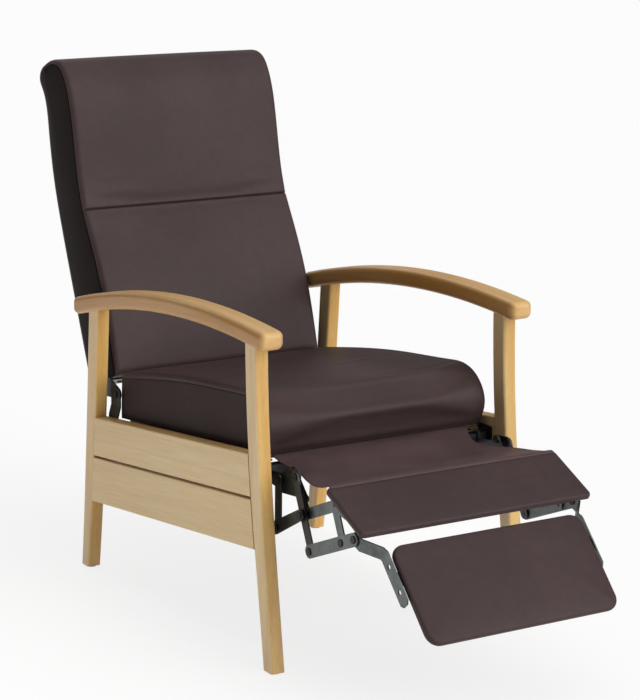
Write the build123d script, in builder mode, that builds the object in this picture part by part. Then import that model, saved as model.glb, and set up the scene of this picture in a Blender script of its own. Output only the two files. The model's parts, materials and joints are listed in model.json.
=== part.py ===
from build123d import *
from math import cos, radians, sin, tan
import os

# Relax armchair with an exposed beech frame, a reclining back and a two-pad footrest on
# a steel pantograph. Millimetres. +X is the sitter's left, the sitter faces -Y, +Z is up.
# The origin is on the floor, midway between the foot pad's tip and the rear of the back.
# A "depth" is measured backwards from the front legs' toes, a "height" up from the floor.

toe_y = -338.0  # where the front legs' toes stand in Y
seat_rear_depth = 694.0  # the seat's rear end, which the back, rear legs and rails follow

# ---- wooden side frames ----
frame_width = 600.0  # over the outer faces of the legs
leg_thickness = 30.0
front_leg_foot = 34.0  # depth of the front leg's section at the floor
front_leg_head = 40.0  # and under the armrest
front_leg_sweep = 66.0  # how far its head stands behind its toe
rear_leg_depth = seat_rear_depth + 79  # front face of the rear leg at the floor
rear_leg_foot = 32.0
rear_leg_head = 41.0
rear_leg_rake = 59.0  # how far its head stands in front of its foot
rear_leg_bow = 7.0
leg_edge_radius = 5.0
glide_thickness = 3.0
glide_radius = 11.0
glide_nail_radius = 1.6
glide_nail_length = 14.0

armrest_front = 26.0  # depth of its front tip
armrest_rear = rear_leg_depth + 36
armrest_crown = 238.0  # depth of its highest point
armrest_height = 668.5
armrest_radius = 2100.0  # of the arched top
armrest_thickness = 36.0
armrest_width = 54.0
armrest_overhang = 12.0  # beyond the outer face of the legs
armrest_nose_radius = 15.0
armrest_tail_radius = 14.0
armrest_edge_radius = 12.0

board_slope = 6.3  # degrees, down towards the rear
board_thickness = 30.0
board_station = 400.0  # depth at which the board heights below are given
board_slot_height = 294.5  # middle of the slot between the boards
board_slot = 5.0
upper_board_height = 83.0
lower_board_height = 97.0
board_edge_radius = 3.0
dowel_radius = 5.0
dowel_length = 36.0
dowel_pitch = 40.0

# ---- steel base ----
tube_size = 20.0
tube_wall = 2.0
rail_rear = seat_rear_depth - 54
front_tube_depth = 118.0
front_tube_height = 370.0
rear_tube_depth = rail_rear - 80
rear_tube_height = 324.0
tube_flange = 46.0
tube_flange_thickness = 3.0
screw_radius = 2.5
screw_length = 12.0
screw_head_radius = 5.0
screw_head = 2.5
plate = 3.0  # every plate and link of the mechanism
washer = 1.0  # between neighbouring plates
rail_x = 242.0  # middle plane of the mechanism rails
rail_front = -4.0  # depth of their front ends
rail_top = 397.0  # height of the top edge at the front end
rail_slope = 5.4
rail_height = 26.0
rail_nose = 26.0  # height of the front end
rail_notch = 15.0  # drop of the top edge between the footrest's pivots and the front tube
rail_skirt = 54.0  # height of the plate under the footrest's pivots
rail_skirt_rear = 70.0  # depth of its rear end
rail_flange = 22.0
rail_flange_front = 132.0

# ---- seat ----
seat_width = 510.0
seat_slope = 5.9
seat_front_depth = 187.0  # where the bullnose meets the flat underside
seat_underside = 398.0  # its height there
seat_crown_height = 513.0  # of the top behind the bullnose
seat_rear_height = seat_crown_height - 69  # of the top at the rear end
seat_edge_radius = 12.0
bullnose_depth = 97.0  # its foremost point
bullnose_bottom = 395.0
bullnose_rise = seat_crown_height - bullnose_bottom
bullnose_height = bullnose_bottom + 0.508 * bullnose_rise
seat_frame_front = 149.0
seat_frame_rear = seat_rear_depth - 18
seat_frame_width = 490.0
seat_frame_height = 42.0
seat_rail_thickness = 24.0
webbing_width = 50.0
webbing_thickness = 2.0
seat_webbing_count = 6
dust_cover_thickness = 1.5

# ---- back, in its own directions: t rearwards, s upwards ----
back_lean = 22.0  # degrees from upright
back_depth = seat_rear_depth + 34  # lower front corner, t = 0 and s = 0
back_height = 429.0
back_width = 504.0
back_seam = 361.0  # height of the cross seam
back_edge_radius = 11.0
lumbar_bulge = 18.0
pillow_bulge = 27.0
pillow_bulge_height = 630.0
back_total = pillow_bulge_height + 67
back_lip_offset = 106.0  # t of the rear lip below the top
back_lip_height = back_total - 19
back_neck_offset = 98.0  # t of the rear face under the lip
back_rear = 134.0  # t of the rear face over the lower half
back_split = 64.0  # t of the plane between the cushions and the rear cover
cover_wall = 5.0
back_post = 34.0
back_frame_thickness = 22.0
back_frame_width = 484.0
back_frame_length = 600.0
back_webbing_count = 6
hinge_depth = seat_rear_depth + 12
hinge_height = 396.0
hinge_arm_x = 257.5
hinge_strap_x = 262.5
hinge_strap_width = 40.0
hinge_strap_bottom = 284.0
hinge_boss = 13.0
hinge_pin_radius = 5.0
arm_tab_start = 16.0  # t where the arm's tab begins under the back
arm_tab_end = 108.0
arm_tab_reach = 60.0
arm_tab_drop = 14.0

# ---- footrest linkage, as it stands extended ----
swing_pivot = (8.0, 382.0)  # depth and height
swing_angle = 245.5  # of the swing arm, degrees from the rearward level
swing_length = 142.0
swing_cross = 72.0  # along it to the crossing link's pivot
link_angle = 157.2  # of the upper and lower links
link_span = 118.0
lower_link_length = 164.0
control_pivot = (31.8, 385.8)
control_pin = (-9.4, 342.4)
control_slot = (-9.2, 338.9)
control_slot_angle = -99.3
control_slot_travel = 6.6
control_slot_play = 0.9
crank_pivot = (62.0, 364.0)
crank_pin = (62.5, 271.3)
drive_slot_travel = 8.6
drive_slot_play = 0.2
link_radius = 11.0
lower_link_radius = 13.0
small_link_radius = 9.0
control_ear_radius = 11.0  # of the upper link round its oblong hole
pin_radius = 4.0
running_fit = 0.05
open_fit = 0.7  # where the closed loop is left open
spacer_radius = 6.5
pin_head_radius = 7.5
pin_head = 2.0
upper_link_x = rail_x - plate - washer
control_link_x = upper_link_x - plate - washer
swing_arm_x = rail_x + plate + washer
lower_link_x = swing_arm_x + plate + washer
drive_link_x = lower_link_x + plate + washer

# ---- footrest pads ----
calf_pad_width = 521.0
calf_pad_rear = -121.7  # depth of the upper face's rear edge
calf_pad_rear_height = 397.0
calf_pad_slope = 25.3
calf_pad_length = 135.7
calf_board_width = 448.0
foot_pad_width = 426.0
foot_pad_rear = -265.0
foot_pad_rear_height = 316.0
foot_pad_slope = 47.0
foot_pad_length = 201.0
foot_board_width = 396.0
pad_thickness = 12.0
pad_board_thickness = 8.0
board_inset = 12.0
calf_corner_radius = 10.0
foot_corner_radius = 26.0
pad_edge_radius = 3.5
bracket_tab_start = 38.0  # along the calf pad from its rear edge
bracket_tab_end = 78.0
bracket_tab_reach = 56.0
flipper_arm_x = 219.0
flipper_arm_middle = 19.0  # below the foot pad's face
flipper_arm_half = 14.0  # half its width along the foot pad
flipper_elbow = 12.0  # along the foot pad
flipper_arm_end = 112.0
flipper_arm_point = 7.0  # the chamfers of its end
flipper_tab_start = 44.0
flipper_tab_end = 72.0
flipper_tab_reach = 34.0
flipper_holes = (32.0, 84.0)
flipper_hole_radius = 4.8
apron_width = 508.0  # at the calf pad
apron_seat_width = 454.0
apron_waist = 422.0
apron_waist_depth = 76.0
apron_thickness = 3.0
apron_sag = 24.0
apron_seat_depth = 124.0
apron_seat_height = 392.3

os.makedirs("parts", exist_ok=True)
# The sitter's right is at negative X.
sides = ((-1, "right"), (1, "left"))
outer = frame_width / 2
leg_x = outer - leg_thickness / 2
board_x = outer - board_thickness / 2
board_inner = outer - board_thickness


def finish(part, name):
    """Labels a finished piece and writes its STEP file."""
    part.label = name
    export_step(part, f"parts/{name}.step")


def side(x):
    """Side-view plane at x: its own x is the depth, its own y the height."""
    return Plane(origin=(x, toe_y, 0), x_dir=(0, 1, 0), z_dir=(1, 0, 0))


def turned(x, depth, height, angle):
    """Side-view plane with its origin at a depth and height, turned by an angle in degrees."""
    direction = (0, cos(radians(angle)), sin(radians(angle)))
    return Plane(origin=(x, toe_y + depth, height), x_dir=direction, z_dir=(1, 0, 0))


def pad_plane(rear, height, slope, below):
    """Plane parallel to a pad's face and below it: x across, y from the rear edge forwards."""
    lean = radians(slope)
    start = (0, toe_y + rear + below * sin(lean), height - below * cos(lean))
    return Plane(origin=start, x_dir=(1, 0, 0), z_dir=(0, sin(lean), -cos(lean)))


def away(start, angle, distance):
    """Point at a distance from start, at an angle in degrees in the side view."""
    turn = radians(angle)
    return (start[0] + distance * cos(turn), start[1] + distance * sin(turn))


def rod(plane, point, radius, length):
    """A round bar from a plane, along the plane's normal."""
    with BuildPart() as bar:
        with BuildSketch(plane):
            with Locations(point):
                Circle(radius)
        extrude(amount=length)
    return bar.part


def cross_rod(x_from, x_to, point, radius):
    """A round bar along X between two stations, on either side of the chair."""
    low = min(x_from, x_to)
    return rod(side(low), point, radius, abs(x_to - x_from))


def screw(x_head, inward, point):
    """A screw along X: its head stands off the face at x_head, its shank runs outwards."""
    with BuildPart() as one:
        add(cross_rod(x_head, x_head + inward * screw_head, point, screw_head_radius))
        add(cross_rod(x_head, x_head - inward * screw_length, point, screw_radius))
    return one.part


def link(x, ends, holes, slots=()):
    """A flat link in the side view: its ends are circles, its holes round or oblong."""
    with BuildPart() as bar:
        with BuildSketch(side(x)):
            for point, radius in ends:
                with Locations(point):
                    Circle(radius)
            make_hull()
            for point, radius in holes:
                with Locations(point):
                    Circle(radius, mode=Mode.SUBTRACT)
            for point, radius, travel, angle in slots:
                with Locations(Location((point[0], point[1], 0), (0, 0, angle))):
                    SlotCenterToCenter(travel, 2 * radius, mode=Mode.SUBTRACT)
        extrude(amount=plate / 2, both=True)
    return bar.part


# Pivots of the footrest linkage in the side view.
cross_pivot = away(swing_pivot, swing_angle, swing_cross)
swing_end = away(swing_pivot, swing_angle, swing_length)
bracket_pivot = away(cross_pivot, link_angle, link_span)
open_pivot = away(swing_end, link_angle, link_span)
foot_pivot = away(swing_end, link_angle, lower_link_length)


def board_line(depth, height):
    """Height at a depth of the board line that has a given height at board_station."""
    return height - (depth - board_station) * tan(radians(board_slope))


def rail_line(depth):
    """Height of the mechanism rail's top edge, where the seat frame rests."""
    return rail_top - (depth - rail_front) * tan(radians(rail_slope))


def tube_screws(sign):
    """Screws that hold the cross tubes' end flanges on one side board."""
    offset = tube_flange / 2 - screw_head_radius - 1.5
    face = sign * (board_inner - tube_flange_thickness)
    with BuildPart() as screws:
        for depth, height in ((front_tube_depth, front_tube_height), (rear_tube_depth, rear_tube_height)):
            for across in (-offset, offset):
                for up in (-offset, offset):
                    add(screw(face, -sign, (depth + across, height + up)))
    return screws.part


def strap_screws(sign):
    """Screws that hold one back hinge strap on its side board."""
    face = sign * (board_inner - plate)
    with BuildPart() as screws:
        for lift in (10.0, 42.0):
            add(screw(face, -sign, (hinge_depth, hinge_strap_bottom + lift)))
    return screws.part


# ---- legs ----
blank_top = armrest_height  # the blanks are cut back to the armrest's underside
under_arm_radius = armrest_radius - armrest_thickness
arch_centre = (armrest_crown, armrest_height - armrest_radius)
rear_leg_top = rear_leg_depth - rear_leg_rake
front_leg_curves = (
    [
        (0, glide_thickness),
        (front_leg_sweep * 0.32, blank_top * 0.22),
        (front_leg_sweep * 0.62, blank_top * 0.44),
        (front_leg_sweep * 0.87, blank_top * 0.67),
        (front_leg_sweep, blank_top),
    ],
    [
        (front_leg_foot, glide_thickness),
        (front_leg_foot + front_leg_sweep * 0.33, blank_top * 0.22),
        (front_leg_foot + front_leg_sweep * 0.67, blank_top * 0.44),
        (front_leg_foot + front_leg_sweep * 0.94, blank_top * 0.67),
        (front_leg_head + front_leg_sweep, blank_top),
    ],
)
rear_leg_curves = (
    [
        (rear_leg_depth, glide_thickness),
        (rear_leg_depth - rear_leg_rake * 0.48 - rear_leg_bow, blank_top * 0.44),
        (rear_leg_top, blank_top * 0.86),
        (rear_leg_top - rear_leg_bow, blank_top),
    ],
    [
        (rear_leg_depth + rear_leg_foot, glide_thickness),
        (rear_leg_depth + rear_leg_foot - rear_leg_rake * 0.36 - rear_leg_bow, blank_top * 0.44),
        (rear_leg_top + rear_leg_head, blank_top * 0.86),
        (rear_leg_top + rear_leg_head - rear_leg_bow, blank_top),
    ],
)
front_foot = front_leg_foot / 2
rear_foot = rear_leg_depth + rear_leg_foot / 2
legs = (("front_leg", front_leg_curves, front_foot), ("rear_leg", rear_leg_curves, rear_foot))


def leg_blank(curves, x, half_thickness):
    """A leg between its front and rear curves, from the floor end to the blank's top."""
    front, rear = curves
    with BuildPart() as blank:
        with BuildSketch(side(x)):
            with BuildLine():
                Spline(*front)
                Line(front[-1], rear[-1])
                Spline(*rear[::-1])
                Line(rear[0], front[0])
            make_face()
        extrude(amount=half_thickness, both=True)
    return blank.part


# ---- dowels: board ends into the legs, leg heads into the armrests ----
front_joint = front_leg_foot + front_leg_sweep * 0.67
rear_joint = rear_leg_depth - rear_leg_rake * 0.55
upper_middle = board_slot_height + (board_slot + upper_board_height) / 2
lower_middle = board_slot_height - (board_slot + lower_board_height) / 2


def dowel_set(sign):
    """The dowels of one side frame."""
    x = sign * board_x
    with BuildPart() as pegs:
        for middle in (upper_middle, lower_middle):
            for lift in (-dowel_pitch / 2, dowel_pitch / 2):
                for depth in (front_joint, rear_joint):
                    start = (x, toe_y + depth - dowel_length / 2, board_line(depth, middle + lift))
                    add(rod(Plane(origin=start, z_dir=(0, 1, 0)), (0, 0), dowel_radius, dowel_length))
        for depth in (front_leg_sweep + front_leg_head / 2, rear_leg_top + rear_leg_head / 2):
            reach = (under_arm_radius**2 - (depth - armrest_crown) ** 2) ** 0.5
            start = (x, toe_y + depth, arch_centre[1] + reach - dowel_length / 2)
            add(rod(Plane(origin=start), (0, 0), dowel_radius, dowel_length))
    return pegs.part


dowel_sets = {sign: dowel_set(sign) for sign, hand in sides}
with BuildPart() as dowels:
    for sign, hand in sides:
        add(dowel_sets[sign])
finish(dowels.part, "frame_dowels")


def glide_set(sign):
    """The nailed glides under one side frame's two legs."""
    with BuildPart() as discs:
        for foot in (front_foot, rear_foot):
            floor = Plane(origin=(sign * leg_x, toe_y + foot, 0))
            add(rod(floor, (0, 0), glide_radius, glide_thickness))
            add(rod(floor, (0, 0), glide_nail_radius, glide_thickness + glide_nail_length))
    return discs.part


with BuildPart() as glides:
    for sign, hand in sides:
        add(glide_set(sign))
finish(glides.part, "floor_glides")

# ---- side frames ----
for sign, hand in sides:
    for leg_name, curves, foot in legs:
        with BuildPart() as leg:
            add(leg_blank(curves, sign * leg_x, leg_thickness / 2))
            fillet(leg.edges().filter_by(GeomType.BSPLINE), leg_edge_radius)
            with BuildSketch(side(sign * leg_x)):
                with Locations(arch_centre):
                    Circle(under_arm_radius)
            extrude(amount=leg_thickness, both=True, mode=Mode.INTERSECT)
            add(dowel_sets[sign], mode=Mode.SUBTRACT)
            add(glide_set(sign), mode=Mode.SUBTRACT)
        finish(leg.part, f"{leg_name}_{hand}")

    boards = (
        ("upper_side_board", board_slot_height + board_slot / 2, upper_board_height),
        ("lower_side_board", board_slot_height - board_slot / 2 - lower_board_height, lower_board_height),
    )
    for board_name, low, tall in boards:
        with BuildPart() as board:
            with BuildSketch(turned(sign * board_x, board_station, low, -board_slope)):
                Rectangle(rear_leg_depth, tall, align=(Align.CENTER, Align.MIN))
            extrude(amount=board_thickness / 2, both=True)
            ends = board.faces().sort_by(Axis.Y)
            long_edges = board.edges() - ends[0].edges() - ends[-1].edges()
            fillet(long_edges, board_edge_radius)
            for leg_name, curves, foot in legs:
                add(leg_blank(curves, sign * leg_x, leg_thickness), mode=Mode.SUBTRACT)
        with BuildPart() as fitted:
            add(board.part.solids().sort_by(SortBy.VOLUME)[-1])
            add(dowel_sets[sign], mode=Mode.SUBTRACT)
            add(tube_screws(sign), mode=Mode.SUBTRACT)
            add(strap_screws(sign), mode=Mode.SUBTRACT)
        finish(fitted.part, f"{board_name}_{hand}")

    with BuildPart() as armrest:
        with BuildSketch(side(sign * (outer + armrest_overhang - armrest_width / 2))):
            with Locations(arch_centre):
                Circle(armrest_radius)
                Circle(under_arm_radius, mode=Mode.SUBTRACT)
            with BuildLine():
                Polyline(
                    (armrest_front, 0),
                    (armrest_rear, 0),
                    (armrest_rear, armrest_height + 1),
                    (armrest_front, armrest_height + 1),
                    close=True,
                )
            make_face(mode=Mode.INTERSECT)
        extrude(amount=armrest_width / 2, both=True)
        nose = armrest.faces().sort_by(Axis.Y)[0].edges()
        fillet(nose.filter_by(Axis.X, reverse=True), armrest_nose_radius)
        tail = armrest.faces().filter_by(GeomType.PLANE).sort_by(Axis.Y)[-1].edges()
        fillet(tail.filter_by(Axis.X, reverse=True), armrest_tail_radius)
        arches = armrest.faces().filter_by(GeomType.CYLINDER).sort_by(SortBy.AREA)[-2:]
        fillet(arches[0].edges() + arches[1].edges(), armrest_edge_radius)
        add(dowel_sets[sign], mode=Mode.SUBTRACT)
    finish(armrest.part, f"armrest_{hand}")

# ---- cross tubes with welded end flanges ----
tubes = (
    ("front_cross_tube", front_tube_depth, front_tube_height),
    ("rear_cross_tube", rear_tube_depth, rear_tube_height),
)
flange_face = board_inner - tube_flange_thickness
for tube_name, depth, height in tubes:
    with BuildPart() as tube:
        with BuildSketch(side(0)):
            with Locations((depth, height)):
                Rectangle(tube_size, tube_size)
                Rectangle(tube_size - 2 * tube_wall, tube_size - 2 * tube_wall, mode=Mode.SUBTRACT)
        extrude(amount=flange_face, both=True)
        for sign, hand in sides:
            with BuildSketch(side(sign * (flange_face + tube_flange_thickness / 2))):
                with Locations((depth, height)):
                    RectangleRounded(tube_flange, tube_flange, 4)
            extrude(amount=tube_flange_thickness / 2, both=True)
            add(tube_screws(sign), mode=Mode.SUBTRACT)
    finish(tube.part, tube_name)

with BuildPart() as fasteners:
    for sign, hand in sides:
        add(tube_screws(sign))
finish(fasteners.part, "cross_tube_screws")

frame_middle = (seat_frame_front + seat_frame_rear) / 2
frame_length = (seat_frame_rear - seat_frame_front) / cos(radians(rail_slope))


def on_seat_frame(lift):
    """Plane parallel to the seat frame's underside: x across, y rearwards."""
    tilt = radians(rail_slope)
    start = (0, toe_y + frame_middle + lift * sin(tilt), rail_line(frame_middle) + lift * cos(tilt))
    return Plane(origin=start, x_dir=(1, 0, 0), z_dir=(0, sin(tilt), cos(tilt)))


def seat_frame_screws():
    """Screws up through the rails' flanges into the seat frame's side rails."""
    with BuildPart() as screws:
        for sign, hand in sides:
            for along in (-1, 0, 1):
                point = (sign * (rail_x - rail_flange / 2), along * frame_length * 0.38)
                add(rod(on_seat_frame(-plate), point, screw_radius, screw_length + plate))
                add(rod(on_seat_frame(-plate), point, screw_head_radius, -screw_head))
    return screws.part


# ---- mechanism rails ----
rail_end = rail_line(rail_rear)
for sign, hand in sides:
    with BuildPart() as rail:
        with BuildSketch(side(sign * rail_x)):
            notch_end = front_tube_depth - tube_size / 2 - 5
            Polygon(
                (rail_front, rail_top - 10),
                (rail_front + 10, rail_top - 1),
                (control_pivot[0] + 5, rail_line(control_pivot[0] + 5)),
                (crank_pivot[0], rail_line(crank_pivot[0]) - rail_notch),
                (notch_end, rail_line(notch_end) - rail_notch),
                (notch_end, rail_line(notch_end)),
                (rail_rear, rail_end),
                (rail_rear, rail_end - rail_height),
                (front_tube_depth + tube_size, rail_line(front_tube_depth + tube_size) - rail_height - 6),
                (rail_skirt_rear + 16, rail_top - rail_skirt + 2),
                (rail_skirt_rear, rail_top - rail_skirt - 6),
                (swing_pivot[0], rail_top - rail_skirt),
                (rail_front, rail_top - rail_nose),
                align=None,
            )
            for point in (swing_pivot, crank_pivot):
                with Locations(point):
                    Circle(link_radius + 1)
            with Locations((rear_tube_depth, rear_tube_height)):
                Rectangle(tube_size * 2, tube_size + 4)
        extrude(amount=plate / 2, both=True)
        flange_middle = (rail_flange_front + rail_rear) / 2
        flange_x = sign * (rail_x + plate / 2 - rail_flange / 2)
        with BuildSketch(turned(flange_x, flange_middle, rail_line(flange_middle), -rail_slope)):
            Rectangle(rail_rear - rail_flange_front, plate, align=(Align.CENTER, Align.MAX))
        extrude(amount=rail_flange / 2, both=True)
        for depth, height in ((front_tube_depth, front_tube_height), (rear_tube_depth, rear_tube_height)):
            with BuildSketch(side(0)):
                with Locations((depth, height)):
                    Rectangle(tube_size, tube_size)
            extrude(amount=sign * outer, mode=Mode.SUBTRACT)
        for pivot in (swing_pivot, crank_pivot, control_pivot):
            add(cross_rod(0, sign * outer, pivot, pin_radius), mode=Mode.SUBTRACT)
        add(seat_frame_screws(), mode=Mode.SUBTRACT)
    finish(rail.part, f"mechanism_rail_{hand}")

# Pins on the rails: swing arm and crank outboard, control link inboard.
with BuildPart() as pins:
    for sign, hand in sides:
        rail_inner = sign * (rail_x - plate / 2)
        rail_outer = sign * (rail_x + plate / 2)
        arm_outer = sign * (swing_arm_x + plate / 2)
        crank_inner = sign * (lower_link_x - plate / 2)
        crank_outer = sign * (lower_link_x + plate / 2)
        add(cross_rod(rail_inner, arm_outer, swing_pivot, pin_radius))
        add(cross_rod(arm_outer, arm_outer + sign * pin_head, swing_pivot, pin_head_radius))
        add(cross_rod(rail_inner, crank_outer, crank_pivot, pin_radius))
        add(cross_rod(rail_outer, crank_inner - sign * washer / 2, crank_pivot, spacer_radius))
        add(cross_rod(crank_outer, crank_outer + sign * pin_head, crank_pivot, pin_head_radius))
        control_inner = sign * (control_link_x - plate / 2)
        control_outer = sign * (control_link_x + plate / 2)
        add(cross_rod(rail_outer, control_inner, control_pivot, pin_radius))
        add(cross_rod(rail_inner, control_outer + sign * washer / 2, control_pivot, spacer_radius))
        add(cross_rod(control_inner, control_inner - sign * pin_head, control_pivot, pin_head_radius))
finish(pins.part, "rail_pins")

# ---- seat ----
inside_width = seat_frame_width - 2 * seat_rail_thickness
with BuildPart() as seat_frame:
    with BuildSketch(on_seat_frame(0)):
        with GridLocations(inside_width + seat_rail_thickness, 0, 2, 1):
            Rectangle(seat_rail_thickness, frame_length)
        for along in (-1, 0, 1):
            with Locations((0, along * (frame_length - seat_rail_thickness) / 2)):
                Rectangle(inside_width, seat_rail_thickness)
    extrude(amount=seat_frame_height)
    with BuildSketch(on_seat_frame(0)):
        Rectangle(inside_width, frame_length - 2 * seat_rail_thickness)
    extrude(amount=seat_frame_height / 3, mode=Mode.SUBTRACT)
    add(seat_frame_screws(), mode=Mode.SUBTRACT)
finish(seat_frame.part, "seat_frame")

with BuildPart() as screws:
    add(seat_frame_screws())
finish(screws.part, "seat_frame_screws")

webbing_gap = (frame_length - seat_rail_thickness) / seat_webbing_count
with BuildPart() as webbing:
    with BuildSketch(on_seat_frame(seat_frame_height)):
        with GridLocations(0, webbing_gap, 1, seat_webbing_count):
            Rectangle(seat_frame_width - 8, webbing_width)
    extrude(amount=webbing_thickness)
finish(webbing.part, "seat_webbing")

with BuildPart() as dust_cover:
    with BuildSketch(on_seat_frame(-dust_cover_thickness)):
        Rectangle(inside_width - 4, frame_length - 4)
    extrude(amount=dust_cover_thickness)
finish(dust_cover.part, "seat_dust_cover")

with BuildPart() as seat:
    with BuildSketch(side(0)):
        with BuildLine():
            top = Spline(
                (seat_rear_depth, seat_rear_height),
                (seat_rear_depth * 0.58, seat_rear_height + 49),
                (seat_front_depth + 30, seat_crown_height - 1),
                (seat_front_depth - 27, seat_crown_height),
                (bullnose_depth + 18, bullnose_bottom + 0.797 * bullnose_rise),
                (bullnose_depth, bullnose_height),
                (bullnose_depth + 9, bullnose_bottom + 0.203 * bullnose_rise),
                (bullnose_depth + 27, bullnose_bottom),
            )
            rear_bottom = seat_underside - (seat_rear_depth - seat_front_depth) * tan(radians(seat_slope))
            Polyline(
                (bullnose_depth + 27, bullnose_bottom),
                (seat_frame_front, bullnose_bottom + 2),
                (seat_front_depth, seat_underside),
                (seat_rear_depth, rear_bottom),
                (seat_rear_depth, seat_rear_height),
            )
        make_face()
    extrude(amount=seat_width / 2, both=True)
    flanks = seat.faces().filter_by(Axis.X).edges().filter_by(GeomType.BSPLINE)
    fillet(flanks, seat_edge_radius)
    with BuildSketch(on_seat_frame(-seat_frame_height)):
        Rectangle(seat_frame_width, frame_length)
    extrude(amount=2 * seat_frame_height + webbing_thickness, mode=Mode.SUBTRACT)
finish(seat.part, "seat_cushion")

# ---- back ----


def back_side(x):
    """Side-view plane of the leaning back: its own x is t, its own y is s."""
    return turned(x, back_depth, back_height, -back_lean)


def on_back(offset):
    """Plane across the leaning back at t = offset: x across, y up the back."""
    lean = radians(back_lean)
    start = (0, toe_y + back_depth + offset * cos(lean), back_height - offset * sin(lean))
    return Plane(origin=start, x_dir=(-1, 0, 0), z_dir=(0, cos(lean), -sin(lean)))


def back_body(half_width):
    """The whole upholstered back between its two flanks."""
    with BuildPart() as body:
        with BuildSketch(back_side(0)):
            with BuildLine():
                Spline(
                    (-6, 0),
                    (-lumbar_bulge, back_seam * 0.47),
                    (-8, back_seam * 0.8),
                    (2, back_seam + 11),
                    (-6, pillow_bulge_height - 170),
                    (3 - pillow_bulge, pillow_bulge_height - 70),
                    (-pillow_bulge, pillow_bulge_height),
                    (17 - pillow_bulge, pillow_bulge_height + 48),
                    (30, back_total + 2),
                    (back_lip_offset - 36, back_total + 4),
                    (back_lip_offset - 8, back_total - 5),
                    (back_lip_offset, back_lip_height),
                    (back_neck_offset + 3, back_lip_height - 23),
                    (back_neck_offset, back_lip_height - 48),
                    (back_rear - 24, pillow_bulge_height - 70),
                    (back_rear - 6, pillow_bulge_height - 170),
                    (back_rear, back_seam - 21),
                    (back_rear, back_seam * 0.5),
                    (back_rear, 0),
                )
                Line((back_rear, 0), (-6, 0))
            make_face()
        extrude(amount=half_width, both=True)
    return body.part


back_half = back_width / 2
with BuildPart() as whole_back:
    add(back_body(back_half))
    flanks = whole_back.faces().filter_by(Axis.X).edges().filter_by(GeomType.BSPLINE)
    fillet(flanks, back_edge_radius)


def back_slice(t_from, t_to, s_from, s_to):
    """A block across the back between two offsets and two heights."""
    with BuildPart() as block:
        with BuildSketch(back_side(0)):
            with Locations(((t_from + t_to) / 2, (s_from + s_to) / 2)):
                Rectangle(t_to - t_from, s_to - s_from)
        extrude(amount=back_width, both=True)
    return block.part


webbing_front = back_split - webbing_thickness
with BuildPart() as back_webbing:
    with BuildSketch(on_back(webbing_front)):
        with Locations((0, back_frame_length / 2)):
            with GridLocations(0, back_frame_length / (back_webbing_count + 0.6), 1, back_webbing_count):
                Rectangle(back_frame_width - 8, webbing_width)
    extrude(amount=webbing_thickness)
finish(back_webbing.part, "back_webbing")

cushions = (
    ("backrest_lower_cushion", -1, back_seam),
    ("backrest_upper_cushion", back_seam, back_total + 40),
)
for cushion_name, low, high in cushions:
    with BuildPart() as cushion:
        add(whole_back.part)
        add(back_slice(-back_total, back_split, low, high), mode=Mode.INTERSECT)
        add(back_webbing.part, mode=Mode.SUBTRACT)
    finish(cushion.part, cushion_name)

with BuildPart() as back_cover:
    add(whole_back.part)
    add(back_slice(back_split, back_total, -1, back_total + 40), mode=Mode.INTERSECT)
    with BuildSketch(on_back(back_split)):
        with Locations((0, (back_frame_length + 2) / 2)):
            Rectangle(back_frame_width, back_frame_length + 2)
    extrude(amount=back_frame_thickness, mode=Mode.SUBTRACT)
    with BuildSketch(on_back(back_split)):
        with Locations((0, back_seam * 0.75)):
            Rectangle(back_frame_width, back_seam * 1.3)
    extrude(amount=back_rear - back_split - 4 * cover_wall, mode=Mode.SUBTRACT)
finish(back_cover.part, "back_cover")

post_x = (back_frame_width - back_post) / 2
rail_between = back_frame_width - 2 * back_post


def arm_screws():
    """Screws up through the back arms' tabs into the back frame's bottom rail."""
    with BuildPart() as screws:
        for sign, hand in sides:
            for inset in (12.0, 34.0):
                x = sign * (hinge_arm_x - plate / 2 - arm_tab_reach + inset)
                lean = radians(back_lean)
                middle = back_split + back_frame_thickness / 2
                depth = toe_y + back_depth + middle * cos(lean) - plate * sin(lean)
                height = back_height - middle * sin(lean) - plate * cos(lean)
                start = Plane(origin=(x, depth, height), z_dir=(0, sin(lean), cos(lean)))
                add(rod(start, (0, 0), screw_radius, screw_length + plate))
                add(rod(start, (0, 0), screw_head_radius, -screw_head))
    return screws.part


with BuildPart() as back_frame:
    with BuildSketch(on_back(back_split)):
        with Locations((-post_x, back_frame_length / 2), (post_x, back_frame_length / 2)):
            Rectangle(back_post, back_frame_length)
        for height in (back_post / 2, back_seam, back_frame_length - back_post / 2):
            with Locations((0, height)):
                Rectangle(rail_between, back_post)
    extrude(amount=back_frame_thickness)
    add(arm_screws(), mode=Mode.SUBTRACT)
finish(back_frame.part, "back_frame")

with BuildPart() as screws:
    add(arm_screws())
finish(screws.part, "back_arm_screws")

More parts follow.
